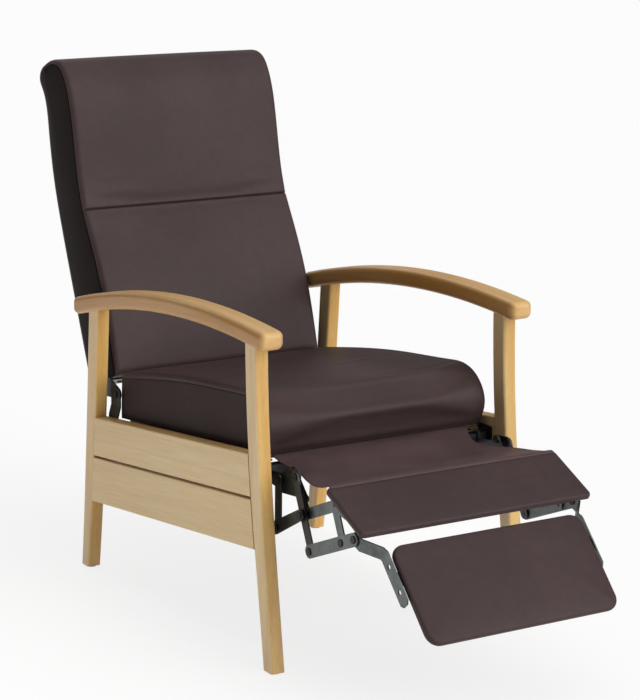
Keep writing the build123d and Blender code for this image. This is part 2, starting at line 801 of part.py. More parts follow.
hinge_point = (hinge_depth, hinge_height)
lean = radians(back_lean)
hinge_t = (hinge_depth - back_depth) * cos(lean) - (hinge_height - back_height) * sin(lean)
hinge_s = (hinge_depth - back_depth) * sin(lean) + (hinge_height - back_height) * cos(lean)
cheek = hinge_boss * cos(radians(45))
with BuildPart() as arm:
    with BuildSketch(back_side(hinge_arm_x)):
        with Locations((hinge_t, hinge_s)):
            Circle(hinge_boss)
        Polygon(
            (hinge_t - cheek, hinge_s + cheek),
            (arm_tab_start, 0),
            (arm_tab_end, 0),
            (arm_tab_end, -arm_tab_drop),
            (hinge_t + cheek, hinge_s - cheek),
            align=None,
        )
    extrude(amount=plate / 2, both=True)
    with BuildSketch(back_side(hinge_arm_x + plate / 2 - arm_tab_reach / 2)):
        with Locations(((arm_tab_start + arm_tab_end) / 2 + 8, -plate / 2)):
            Rectangle(arm_tab_end - arm_tab_start - 24, plate)
    extrude(amount=arm_tab_reach / 2, both=True)
    add(cross_rod(0, outer, hinge_point, hinge_pin_radius + running_fit), mode=Mode.SUBTRACT)
    add(arm_screws(), mode=Mode.SUBTRACT)
finish(arm.part, "back_arm_left")
with BuildPart() as mirrored_arm:
    mirror(arm.part, about=Plane.YZ)
finish(mirrored_arm.part, "back_arm_right")

for sign, hand in sides:
    with BuildPart() as strap:
        with BuildSketch(Plane(origin=(0, toe_y + hinge_depth, 0), x_dir=(1, 0, 0), z_dir=(0, -1, 0))):
            outside = [
                (sign * board_inner, hinge_strap_bottom),
                (sign * board_inner, hinge_height - 46),
                (sign * (hinge_strap_x + plate / 2), hinge_height - 24),
                (sign * (hinge_strap_x + plate / 2), hinge_height + hinge_boss),
                (sign * (hinge_strap_x - plate / 2), hinge_height + hinge_boss),
                (sign * (hinge_strap_x - plate / 2), hinge_height - 25),
                (sign * (board_inner - plate), hinge_height - 47),
                (sign * (board_inner - plate), hinge_strap_bottom),
            ]
            Polygon(*outside, align=None)
        extrude(amount=hinge_strap_width / 2, both=True)
        with BuildSketch(side(0)):
            with Locations(hinge_point):
                Circle(hinge_strap_width / 2)
            with Locations((hinge_depth, (hinge_strap_bottom + hinge_height) / 2)):
                Rectangle(hinge_strap_width, hinge_height - hinge_strap_bottom)
        extrude(amount=outer, both=True, mode=Mode.INTERSECT)
        add(cross_rod(0, sign * outer, hinge_point, hinge_pin_radius), mode=Mode.SUBTRACT)
        add(strap_screws(sign), mode=Mode.SUBTRACT)
    finish(strap.part, f"back_hinge_strap_{hand}")

with BuildPart() as bolts:
    for sign, hand in sides:
        bolt_out = sign * (hinge_strap_x + plate / 2)
        bolt_in = sign * (hinge_arm_x - plate / 2)
        add(cross_rod(bolt_in, bolt_out, hinge_point, hinge_pin_radius))
        add(cross_rod(bolt_out, bolt_out + sign * 3, hinge_point, hinge_pin_radius + 4))
        add(cross_rod(bolt_in, bolt_in - sign * 2.5, hinge_point, hinge_pin_radius + 2))
        add(strap_screws(sign))
finish(bolts.part, "back_hinge_bolts")

# ---- footrest links ----
for sign, hand in sides:
    swing = link(
        sign * swing_arm_x,
        ((swing_pivot, link_radius), (swing_end, link_radius)),
        ((swing_pivot, pin_radius + running_fit), (cross_pivot, pin_radius), (swing_end, pin_radius)),
    )
    finish(swing, f"swing_arm_{hand}")

    with BuildPart() as upper_link:
        add(
            link(
                sign * upper_link_x,
                ((cross_pivot, link_radius), (bracket_pivot, link_radius)),
                (),
            )
        )
        add(
            link(
                sign * upper_link_x,
                ((cross_pivot, link_radius), (control_slot, control_ear_radius)),
                (),
            )
        )
        with BuildSketch(side(sign * upper_link_x)):
            with Locations(cross_pivot, bracket_pivot):
                Circle(pin_radius + running_fit)
            with Locations(Location((control_slot[0], control_slot[1], 0), (0, 0, control_slot_angle))):
                SlotCenterToCenter(control_slot_travel, 2 * (pin_radius + control_slot_play))
        extrude(amount=plate, both=True, mode=Mode.SUBTRACT)
    finish(upper_link.part, f"upper_link_{hand}")

    lower = link(
        sign * lower_link_x,
        ((swing_end, lower_link_radius), (foot_pivot, lower_link_radius)),
        (
            (swing_end, pin_radius + running_fit),
            (open_pivot, pin_radius + open_fit),
            (foot_pivot, pin_radius),
        ),
    )
    finish(lower, f"lower_link_{hand}")

with BuildPart() as control_links:
    for sign, hand in sides:
        add(
            link(
                sign * control_link_x,
                ((control_pivot, small_link_radius), (control_pin, small_link_radius)),
                ((control_pivot, pin_radius + running_fit), (control_pin, pin_radius)),
            )
        )
finish(control_links.part, "control_links")

with BuildPart() as cranks:
    for sign, hand in sides:
        add(
            link(
                sign * lower_link_x,
                ((crank_pivot, link_radius), (crank_pin, link_radius)),
                ((crank_pivot, pin_radius + running_fit), (crank_pin, pin_radius)),
            )
        )
finish(cranks.part, "cranks")

drive_angle = -28.2
with BuildPart() as drive_links:
    for sign, hand in sides:
        add(
            link(
                sign * drive_link_x,
                ((cross_pivot, link_radius), (away(crank_pin, drive_angle, 4), link_radius + 2)),
                ((cross_pivot, pin_radius + running_fit),),
                ((crank_pin, pin_radius + drive_slot_play, drive_slot_travel, drive_angle),),
            )
        )
finish(drive_links.part, "drive_links")

# Pins that ride on the swing arms: the crossing pivot and the lower end.
with BuildPart() as pins:
    for sign, hand in sides:
        link_inner = sign * (upper_link_x - plate / 2)
        drive_outer = sign * (drive_link_x + plate / 2)
        arm_inner = sign * (swing_arm_x - plate / 2)
        arm_outer = sign * (swing_arm_x + plate / 2)
        lower_outer = sign * (lower_link_x + plate / 2)
        add(cross_rod(link_inner, drive_outer, cross_pivot, pin_radius))
        gap_inner = sign * (upper_link_x + plate / 2 + washer / 2)
        add(cross_rod(gap_inner, arm_inner, cross_pivot, spacer_radius))
        gap_outer = sign * (drive_link_x - plate / 2 - washer / 2)
        add(cross_rod(arm_outer, gap_outer, cross_pivot, spacer_radius))
        add(cross_rod(link_inner, link_inner - sign * pin_head, cross_pivot, pin_head_radius))
        add(cross_rod(drive_outer, drive_outer + sign * pin_head, cross_pivot, pin_head_radius))
        add(cross_rod(arm_inner, lower_outer, swing_end, pin_radius))
        add(cross_rod(lower_outer, lower_outer + sign * pin_head, swing_end, pin_head_radius))
finish(pins.part, "swing_arm_pins")

# Pins that ride on the calf pad's brackets.
with BuildPart() as pins:
    for sign, hand in sides:
        link_inner = sign * (upper_link_x - plate / 2)
        bracket_inner = sign * (swing_arm_x - plate / 2)
        bracket_outer = sign * (swing_arm_x + plate / 2)
        lower_outer = sign * (lower_link_x + plate / 2)
        add(cross_rod(link_inner, bracket_outer, bracket_pivot, pin_radius))
        gap_inner = sign * (upper_link_x + plate / 2 + washer / 2)
        add(cross_rod(gap_inner, bracket_inner, bracket_pivot, spacer_radius))
        add(cross_rod(link_inner, link_inner - sign * pin_head, bracket_pivot, pin_head_radius))
        add(cross_rod(bracket_inner, lower_outer, open_pivot, pin_radius))
        add(cross_rod(lower_outer, lower_outer + sign * pin_head, open_pivot, pin_head_radius))
finish(pins.part, "bracket_pins")

with BuildPart() as pins:
    for sign, hand in sides:
        arm_inner = sign * (swing_arm_x - plate / 2)
        lower_outer = sign * (lower_link_x + plate / 2)
        add(cross_rod(arm_inner, lower_outer, foot_pivot, pin_radius))
        add(cross_rod(lower_outer, lower_outer + sign * pin_head, foot_pivot, pin_head_radius))
        add(cross_rod(arm_inner, arm_inner - sign * pin_head, foot_pivot, pin_head_radius))
finish(pins.part, "lower_link_pins")

with BuildPart() as pins:
    for sign, hand in sides:
        control_inner = sign * (control_link_x - plate / 2)
        link_outer = sign * (upper_link_x + plate / 2)
        add(cross_rod(control_inner, link_outer, control_pin, pin_radius))
        add(cross_rod(control_inner, control_inner - sign * pin_head, control_pin, pin_head_radius))
finish(pins.part, "control_link_pins")

with BuildPart() as pins:
    for sign, hand in sides:
        crank_inner = sign * (lower_link_x - plate / 2)
        drive_outer = sign * (drive_link_x + plate / 2)
        add(cross_rod(crank_inner, drive_outer, crank_pin, pin_radius))
        add(cross_rod(drive_outer, drive_outer + sign * pin_head, crank_pin, pin_head_radius))
finish(pins.part, "crank_pins")

# ---- calf pad ----
calf_start = (calf_pad_rear, calf_pad_rear_height)


def calf_point(along, below):
    """Side-view point at a distance along the calf pad and a depth below its face."""
    return away(away(calf_start, 180 + calf_pad_slope, along), calf_pad_slope - 90, below)


def calf_plane(below):
    """Plane parallel to the calf pad's face, below it."""
    return pad_plane(calf_pad_rear, calf_pad_rear_height, calf_pad_slope, below)


def calf_screws():
    """Screws up through the calf brackets' tabs into the calf pad's board."""
    with BuildPart() as screws:
        for sign, hand in sides:
            x = sign * (swing_arm_x + plate / 2 - bracket_tab_reach + 12)
            for along in (bracket_tab_start + 11, bracket_tab_end - 11):
                below = pad_thickness + pad_board_thickness + plate
                add(rod(calf_plane(below), (x, along), screw_radius, -8))
                add(rod(calf_plane(below), (x, along), screw_head_radius, screw_head))
    return screws.part


with BuildPart() as calf_board:
    with BuildSketch(calf_plane(pad_thickness)):
        with Locations((0, calf_pad_length / 2)):
            RectangleRounded(calf_board_width, calf_pad_length - 2 * board_inset, calf_corner_radius)
    extrude(amount=pad_board_thickness)
    add(calf_screws(), mode=Mode.SUBTRACT)
finish(calf_board.part, "calf_pad_board")

with BuildPart() as calf_pad:
    with BuildSketch(calf_plane(0)):
        with Locations((0, calf_pad_length / 2)):
            RectangleRounded(calf_pad_width, calf_pad_length, calf_corner_radius)
    extrude(amount=pad_thickness)
    flats = calf_pad.faces().filter_by(GeomType.PLANE).sort_by(SortBy.AREA)[-2:]
    fillet(flats[0].edges() + flats[1].edges(), pad_edge_radius)
finish(calf_pad.part, "calf_pad")

for sign, hand in sides:
    tab_below = pad_thickness + pad_board_thickness
    cheek_corners = (
        (bracket_pivot, link_radius),
        (calf_point(bracket_tab_start + 2, tab_below + 2), 2),
        (calf_point(bracket_tab_end - 2, tab_below + 2), 2),
    )
    bar_ends = ((bracket_pivot, link_radius), (open_pivot, link_radius))
    tab_middle = (bracket_tab_start + bracket_tab_end) / 2
    with BuildPart() as bracket:
        add(link(sign * swing_arm_x, cheek_corners, ()))
        add(link(sign * swing_arm_x, bar_ends, ()))
        tab_x = sign * (swing_arm_x + plate / 2 - bracket_tab_reach / 2)
        with BuildSketch(calf_plane(tab_below)):
            with Locations((tab_x, tab_middle)):
                Rectangle(bracket_tab_reach, bracket_tab_end - bracket_tab_start)
        extrude(amount=plate)
        for point in (bracket_pivot, open_pivot):
            add(cross_rod(0, sign * outer, point, pin_radius), mode=Mode.SUBTRACT)
        add(calf_screws(), mode=Mode.SUBTRACT)
    finish(bracket.part, f"calf_bracket_{hand}")

with BuildPart() as screws:
    add(calf_screws())
finish(screws.part, "calf_pad_screws")

# ---- foot pad ----
foot_start = (foot_pad_rear, foot_pad_rear_height)


def foot_point(along, below):
    """Side-view point at a distance along the foot pad and a depth below its face."""
    return away(away(foot_start, 180 + foot_pad_slope, along), foot_pad_slope - 90, below)


def foot_plane(below):
    """Plane parallel to the foot pad's face, below it."""
    return pad_plane(foot_pad_rear, foot_pad_rear_height, foot_pad_slope, below)


def foot_screws():
    """Screws up through the flipper arms' tabs into the foot pad's board."""
    with BuildPart() as screws:
        for sign, hand in sides:
            x = sign * (flipper_arm_x + plate / 2 - flipper_tab_reach + 7)
            for along in (flipper_tab_start + 7, flipper_tab_end - 7):
                below = pad_thickness + pad_board_thickness + plate
                add(rod(foot_plane(below), (x, along), screw_radius, -8))
                add(rod(foot_plane(below), (x, along), screw_head_radius, screw_head))
    return screws.part


with BuildPart() as foot_board:
    with BuildSketch(foot_plane(pad_thickness)):
        with Locations((0, foot_pad_length / 2)):
            RectangleRounded(foot_board_width, foot_pad_length - 2 * board_inset, calf_corner_radius)
    extrude(amount=pad_board_thickness)
    add(foot_screws(), mode=Mode.SUBTRACT)
finish(foot_board.part, "foot_pad_board")

with BuildPart() as foot_pad:
    with BuildSketch(foot_plane(0)):
        with Locations((0, foot_pad_length / 2)):
            RectangleRounded(foot_pad_width, foot_pad_length, foot_corner_radius)
    extrude(amount=pad_thickness)
    flats = foot_pad.faces().filter_by(GeomType.PLANE).sort_by(SortBy.AREA)[-2:]
    fillet(flats[0].edges() + flats[1].edges(), pad_edge_radius)
finish(foot_pad.part, "foot_pad")

# Each flipper arm runs from its pivot, joggles inboard and follows the foot pad's edge.
elbow = foot_point(flipper_elbow, flipper_arm_middle)
elbow_run = ((elbow[0] - foot_pivot[0]) ** 2 + (elbow[1] - foot_pivot[1]) ** 2) ** 0.5
joggle_start = 17.0
joggle_end = 12.0  # short of the elbow
for sign, hand in sides:
    tab_below = pad_thickness + pad_board_thickness
    with BuildPart() as arm:
        edge_x = sign * swing_arm_x
        inboard_x = sign * flipper_arm_x
        fall = (foot_pivot[1] - elbow[1]) / elbow_run
        run = (elbow[0] - foot_pivot[0]) / elbow_run
        joggle = Plane(
            origin=(0, toe_y + foot_pivot[0], foot_pivot[1]),
            x_dir=(0, run, -fall),
            z_dir=(0, fall, run),
        )
        with BuildSketch(joggle):
            across = joggle.y_dir.X * sign
            half = plate / 2
            Polygon(
                (0, across * (swing_arm_x - half)),
                (joggle_start, across * (swing_arm_x - half)),
                (elbow_run - joggle_end, across * (flipper_arm_x - half)),
                (elbow_run, across * (flipper_arm_x - half)),
                (elbow_run, across * (flipper_arm_x + half)),
                (elbow_run - joggle_end + 2, across * (flipper_arm_x + half)),
                (joggle_start + 2, across * (swing_arm_x + half)),
                (0, across * (swing_arm_x + half)),
                align=None,
            )
        extrude(amount=flipper_arm_half - 1, both=True)
        lead = away(foot_pivot, link_angle + 38, 8)
        add(link(edge_x, ((foot_pivot, flipper_arm_half - 1), (lead, flipper_arm_half - 1)), ()))
        with BuildSketch(side(inboard_x)):
            with Locations(elbow):
                Circle(flipper_arm_half)
            near = flipper_arm_middle - flipper_arm_half
            far = flipper_arm_middle + flipper_arm_half
            Polygon(
                foot_point(flipper_elbow, near),
                foot_point(flipper_arm_end - flipper_arm_point, near),
                foot_point(flipper_arm_end, flipper_arm_middle - flipper_arm_point),
                foot_point(flipper_arm_end, flipper_arm_middle + flipper_arm_point),
                foot_point(flipper_arm_end - flipper_arm_point, far),
                foot_point(flipper_elbow, far),
                align=None,
            )
            for along in flipper_holes:
                with Locations(foot_point(along, flipper_arm_middle)):
                    Circle(flipper_hole_radius, mode=Mode.SUBTRACT)
        extrude(amount=plate / 2, both=True)
        with BuildSketch(foot_plane(tab_below)):
            tab_x = sign * (flipper_arm_x + plate / 2 - flipper_tab_reach / 2)
            with Locations((tab_x, (flipper_tab_start + flipper_tab_end) / 2)):
                Rectangle(flipper_tab_reach, flipper_tab_end - flipper_tab_start)
        extrude(amount=plate)
        add(cross_rod(0, sign * outer, foot_pivot, pin_radius + running_fit), mode=Mode.SUBTRACT)
        add(foot_screws(), mode=Mode.SUBTRACT)
    finish(arm.part, f"flipper_arm_{hand}")

with BuildPart() as screws:
    add(foot_screws())
finish(screws.part, "foot_pad_screws")

# ---- apron between the seat and the calf pad ----
seat_end = (apron_seat_depth, apron_seat_height)
pad_end = calf_point(0, 4.5)
middle = ((seat_end[0] + pad_end[0]) / 2, (seat_end[1] + pad_end[1]) / 2 - apron_sag)
low_seat_end = (seat_end[0], seat_end[1] - apron_thickness)
low_pad_end = calf_point(0, 4.5 + apron_thickness)
low_middle = (middle[0], middle[1] - apron_thickness)
with BuildPart() as apron:
    with BuildSketch(side(0)):
        with BuildLine():
            ThreePointArc(seat_end, middle, pad_end)
            Line(pad_end, low_pad_end)
            ThreePointArc(low_pad_end, low_middle, low_seat_end)
            Line(low_seat_end, seat_end)
        make_face()
    extrude(amount=apron_width / 2, both=True)
    with BuildSketch(Plane.XY):
        with BuildLine():
            flare = (apron_waist_depth - calf_pad_rear) / 3
            edge = [
                (apron_seat_width / 2, toe_y + apron_seat_depth + 1),
                (apron_waist / 2, toe_y + apron_waist_depth),
                (apron_waist / 2 + 0.4 * (apron_width - apron_waist) / 2, toe_y + apron_waist_depth - flare),
                (apron_waist / 2 + 0.86 * (apron_width - apron_waist) / 2, toe_y + apron_waist_depth - 2 * flare),
                (apron_width / 2, toe_y + calf_pad_rear - 9),
            ]
            other_edge = [(-x, y) for x, y in edge]
            Spline(*edge)
            Line(edge[-1], other_edge[-1])
            Spline(*other_edge[::-1])
            Line(other_edge[0], edge[0])
        make_face()
    extrude(amount=armrest_height, mode=Mode.INTERSECT)
finish(apron.part, "apron")
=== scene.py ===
import json
from math import cos, pi, radians, sin, tan

import bpy
import numpy as np
from mathutils import Matrix, Vector

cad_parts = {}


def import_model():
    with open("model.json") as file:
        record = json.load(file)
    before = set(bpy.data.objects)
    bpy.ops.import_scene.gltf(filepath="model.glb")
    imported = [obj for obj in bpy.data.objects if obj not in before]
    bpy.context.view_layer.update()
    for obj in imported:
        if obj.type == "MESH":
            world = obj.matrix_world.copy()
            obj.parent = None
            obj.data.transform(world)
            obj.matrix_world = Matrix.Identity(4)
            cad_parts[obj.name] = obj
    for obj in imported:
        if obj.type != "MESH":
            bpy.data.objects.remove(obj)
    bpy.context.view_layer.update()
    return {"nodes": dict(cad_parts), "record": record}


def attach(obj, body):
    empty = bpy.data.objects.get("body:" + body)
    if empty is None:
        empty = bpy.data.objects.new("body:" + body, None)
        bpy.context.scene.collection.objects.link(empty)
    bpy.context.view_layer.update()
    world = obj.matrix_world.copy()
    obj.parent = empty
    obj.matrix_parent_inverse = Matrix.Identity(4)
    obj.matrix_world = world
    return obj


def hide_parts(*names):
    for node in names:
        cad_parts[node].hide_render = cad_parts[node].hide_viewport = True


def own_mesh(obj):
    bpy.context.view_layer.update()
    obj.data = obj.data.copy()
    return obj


# Dressing of the relax armchair. Lengths in the tables below are millimetres in the part's own
# side view: a depth is measured rearwards from the front legs' toes, a height from the floor.
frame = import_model()
nodes = frame["nodes"]
scene = bpy.context.scene
TOE_Y = -338.0


def world(x, side):
    """Row frame points in metres from X stations and side-view points, both in millimetres."""
    x = np.asarray(x, float)
    side = np.asarray(side, float)
    return np.stack([x, side[..., 0] + TOE_Y, side[..., 1]], -1) * 0.001


# ---- curves ----
def cubic(t, values, s):
    """Natural cubic spline through values given at t, taken at s, along the first axis."""
    values = np.asarray(values, float)
    h = np.diff(t)
    n = len(t)
    system = np.eye(n)
    right = np.zeros_like(values)
    for i in range(1, n - 1):
        system[i, i - 1 : i + 2] = h[i - 1], 2 * (h[i - 1] + h[i]), h[i]
        right[i] = 6 * ((values[i + 1] - values[i]) / h[i] - (values[i] - values[i - 1]) / h[i - 1])
    second = np.linalg.solve(system, right.reshape(n, -1)).reshape(values.shape)
    k = np.clip(np.searchsorted(t, s, side="right") - 1, 0, n - 2)
    tail = (1,) * (values.ndim - 1)
    width = h[k].reshape(-1, *tail)
    a = ((t[k + 1] - s) / h[k]).reshape(-1, *tail)
    b = 1 - a
    bend = (a**3 - a) * second[k] + (b**3 - b) * second[k + 1]
    return a * values[k] + b * values[k + 1] + bend * width**2 / 6


def spline(points, count=600):
    """Closely spaced points along a smooth curve through the given ones."""
    points = np.array(points, float)
    t = run_of(points)
    return cubic(t, points, np.linspace(0, t[-1], count))


def run_of(line):
    """Running length of a polyline."""
    steps = np.linalg.norm(np.diff(line, axis=0), axis=1)
    return np.concatenate([[0.0], np.cumsum(steps)])


def along(line, lengths):
    """Points of a polyline at given running lengths."""
    run = run_of(line)
    return np.stack([np.interp(lengths, run, line[:, k]) for k in range(line.shape[1])], -1)


def spread(low, high, pitch, tight=(), fine=1.2):
    """Stations from low to high about a pitch apart, closer together beside the tight ones."""
    out = [low]
    while out[-1] < high - 0.3 * fine:
        gap = min([abs(out[-1] - t) for t in tight] + [1e9])
        step = min(pitch, max(fine, 0.35 * gap))
        ahead = [t for t in tight if out[-1] + 1e-6 < t < out[-1] + 1.5 * step]
        out.append(ahead[0] if ahead else out[-1] + step)
    out[-1] = high
    return np.array(out)


# ---- meshes ----
def mesh_object(name, points, faces, sharp=55):
    mesh = bpy.data.meshes.new(name)
    mesh.from_pydata([tuple(p) for p in points], [], faces)
    mesh.validate()
    mesh.shade_smooth()
    mesh.set_sharp_from_angle(angle=radians(sharp))
    made = bpy.data.objects.new(name, mesh)
    scene.collection.objects.link(made)
    return made


def tube_faces(count, around, closed=False):
    """Quads between successive rings of points, with a face on either end where closed."""
    faces = []
    for i in range(count - 1):
        for j in range(around):
            k = (j + 1) % around
            a, b = i * around, (i + 1) * around
            faces.append((a + j, a + k, b + k, b + j))
    if closed:
        last = (count - 1) * around
        faces.append(tuple(reversed(range(around))))
        faces.append(tuple(last + j for j in range(around)))
    return faces


LIP = (0.7, 1.4, 2.2, 3.4, 5.5, 10.0, 18.0)  # flank stations beside the seam


class Ladder:
    """A closed padded form between two side-view rails: panel on rail a, flanks down to rail b."""

    def __init__(self, a, b, half, radius, across, turn, flank, back):
        rung = b - a
        length = np.linalg.norm(rung, axis=1)
        self.inward = rung / length[:, None]
        r = np.minimum(radius, 0.92 * length)
        columns = []
        for f in across:
            columns.append((f * (half - r), 0 * r))
        self.panel = len(across)
        edge = []
        for k in range(1, turn + 1):
            angle = k / turn * pi / 2
            edge.append((half - r + r * sin(angle), r * (1 - cos(angle))))
        room = np.minimum(1, (length - r) / 30)
        for reach in LIP:
            edge.append((half + 0 * r, r + reach * room))
        for g in np.linspace(0, 1, flank + 1)[1:]:
            edge.append((half + 0 * r, r + LIP[-1] * room + g * (length - r - LIP[-1] * room)))
        self.edge = len(edge)
        columns += edge
        self.back = len(back)
        for f in back[::-1]:
            columns.append((f + 0 * r, length))
        columns += [(-x, p) for x, p in edge[::-1]]
        self.x = np.stack([c[0] for c in columns], 1)
        reach = np.stack([c[1] for c in columns], 1)
        self.side = a[:, None, :] + self.inward[:, None, :] * reach[..., None]
        self.reach = reach
        self.turn = turn

    def back_columns(self):
        return slice(self.panel + self.edge, self.panel + self.edge + self.back)

    def flank_columns(self):
        left = np.arange(self.panel, self.panel + self.edge)
        right = np.arange(self.panel + self.edge + self.back, self.x.shape[1])
        return left, right

    def build(self, name):
        count, around = self.x.shape
        points = world(self.x, self.side).reshape(-1, 3)
        faces = tube_faces(count, around)
        flank = np.zeros(around, bool)
        flank[self.panel + self.turn - 1 : around - self.turn] = True
        boxed = len(faces)
        for ring, flip in ((0, False), (count - 1, True)):
            faces += self.cap(ring * around, flip)
        made = mesh_object(name, points, faces)
        # Flank faces take material 1, the darker copy of the leatherette: painted shade on the sides.
        for face in made.data.polygons[:boxed]:
            face.material_index = int(flank[face.index % around])
        return made

    def cap(self, first, flip):
        """Closes one end: strips across where panel and back columns agree, else one face."""
        n, e, m = self.panel, self.edge, self.back
        faces = []
        if n == m:
            for i in range(n - 1):
                j = n + e + m - 1 - i
                faces.append((first + i, first + i + 1, first + j - 1, first + j))
            faces.append(tuple(first + i for i in range(n - 1, n + e + 1)))
            around = n + 2 * e + m
            faces.append(tuple([first + i for i in range(n + e + m - 1, around)] + [first]))
        else:
            faces.append(tuple(first + i for i in range(n + 2 * e + m)))
        if not flip:
            faces = [tuple(reversed(f)) for f in faces]
        return faces


def swell(ladder, held, pressure, cap, frames=20):
    """Blows the panel of a coarse form up as cloth and returns how far each panel point moved, in mm."""
    piece = ladder.build("swelling")
    rest = np.array([v.co for v in piece.data.vertices])
    group = piece.vertex_groups.new(name="held")
    for i, weight in enumerate(held.reshape(-1)):
        if weight > 0:
            group.add([i], float(weight), "REPLACE")
    cloth = piece.modifiers.new("cloth", "CLOTH")
    cloth.settings.quality = 6
    cloth.settings.mass = 0.3
    cloth.settings.tension_stiffness = 30
    cloth.settings.compression_stiffness = 30
    cloth.settings.shear_stiffness = 12
    cloth.settings.bending_stiffness = 1.5
    cloth.settings.air_damping = 3
    cloth.settings.use_pressure = True
    cloth.settings.uniform_pressure_force = pressure
    cloth.settings.vertex_group_mass = "held"
    cloth.settings.effector_weights.gravity = 0
    cloth.point_cache.frame_start = 1
    cloth.point_cache.frame_end = frames
    for step in range(1, frames + 1):
        scene.frame_set(step)
    swollen = piece.evaluated_get(bpy.context.evaluated_depsgraph_get())
    moved = np.array([v.co for v in swollen.data.vertices]) - rest
    far = np.linalg.norm(moved, axis=1, keepdims=True)
    limit = cap * 0.001
    moved *= np.where(far > 1e-9, limit * np.tanh(far / limit) / np.maximum(far, 1e-9), 0)
    bpy.data.objects.remove(piece)
    scene.frame_set(1)
    count, around = ladder.x.shape
    return moved.reshape(count, around, 3)[:, : ladder.panel] * 1000


# ---- materials ----
class Shader:
    """A node material with a Principled shader."""

    def __init__(self, name, **sockets):
        self.material = bpy.data.materials.new(name)
        self.material.use_nodes = True
        self.tree = self.material.node_tree
        self.shader = self.tree.nodes["Principled BSDF"]
        for socket, value in sockets.items():
            self.shader.inputs[socket.replace("_", " ")].default_value = value
        self.place = self.node("ShaderNodeTexCoord").outputs["Object"]

    def node(self, kind, settings=None, **inputs):
        made = self.tree.nodes.new(kind)
        for key, value in (settings or {}).items():
            setattr(made, key, value)
        for key, value in inputs.items():
            socket = made.inputs[int(key[1:])] if key[0] == "i" and key[1:].isdigit() else made.inputs[key]
            self.join(socket, value)
        return made

    def join(self, socket, value):
        if isinstance(value, bpy.types.NodeSocket):
            self.tree.links.new(value, socket)
        else:
            socket.default_value = value

    def set(self, socket, value):
        self.join(self.shader.inputs[socket], value)

    def scaled(self, place, x, y, z):
        made = self.node("ShaderNodeMapping", Vector=place, Scale=(x, y, z))
        return made.outputs[0]

    def noise(self, place, scale, detail=3.0, roughness=0.5, distortion=0.0):
        made = self.node(
            "ShaderNodeTexNoise",
            Vector=place,
            Scale=scale,
            Detail=detail,
            Roughness=roughness,
            Distortion=distortion,
        )
        return made.outputs["Fac"]

    def cells(self, place, scale, feature="F1"):
        made = self.node("ShaderNodeTexVoronoi", {"feature": feature}, Vector=place, Scale=scale)
        return made.outputs["Distance"]

    def math(self, operation, a, b=0.0):
        made = self.node("ShaderNodeMath", {"operation": operation}, i0=a, i1=b)
        return made.outputs[0]

    def span(self, value, low, high, to_low=0.0, to_high=1.0):
        made = self.node("ShaderNodeMapRange", Value=value)
        for key, number in (("From Min", low), ("From Max", high), ("To Min", to_low), ("To Max", to_high)):
            made.inputs[key].default_value = number
        return made.outputs[0]

    def mix(self, amount, a, b, blend="MIX"):
        made = self.node("ShaderNodeMix", {"data_type": "RGBA", "blend_type": blend}, i0=amount, i6=a, i7=b)
        return made.outputs[2]

    def bump(self, height, distance, strength=1.0, under=None):
        made = self.node("ShaderNodeBump", Height=height, Distance=distance, Strength=strength)
        if under is not None:
            self.join(made.inputs["Normal"], under)
        return made.outputs[0]


def rgb(red, green, blue):
    """Linear colour from 0 to 255 display values."""
    out = [c / 255 for c in (red, green, blue)]
    return tuple(c / 12.92 if c <= 0.04045 else ((c + 0.055) / 1.055) ** 2.4 for c in out) + (1.0,)


def leatherette(name, deep, lit, fleck, gloss):
    s = Shader(name, Specular_IOR_Level=gloss)
    broad = s.noise(s.place, 5.0, 2.0)
    mottle = s.noise(s.place, 60.0, 4.0, 0.6)
    colour = s.mix(s.span(broad, 0.3, 0.7), deep, lit)
    colour = s.mix(s.span(mottle, 0.35, 0.8, 0.0, 0.35), colour, fleck)
    s.set("Base Color", colour)
    pebble = s.cells(s.place, 620.0, "SMOOTH_F1")
    crease = s.noise(s.place, 1400.0, 2.0)
    grain = s.math("ADD", s.math("MULTIPLY", pebble, 0.8), s.math("MULTIPLY", crease, 0.3))
    s.set("Roughness", s.span(grain, 0.1, 0.8, 0.42, 0.54))
    fine = s.bump(grain, 0.00022, 0.45)
    s.set("Normal", s.bump(s.noise(s.place, 26.0, 3.0), 0.0016, 0.3, fine))
    return s.material


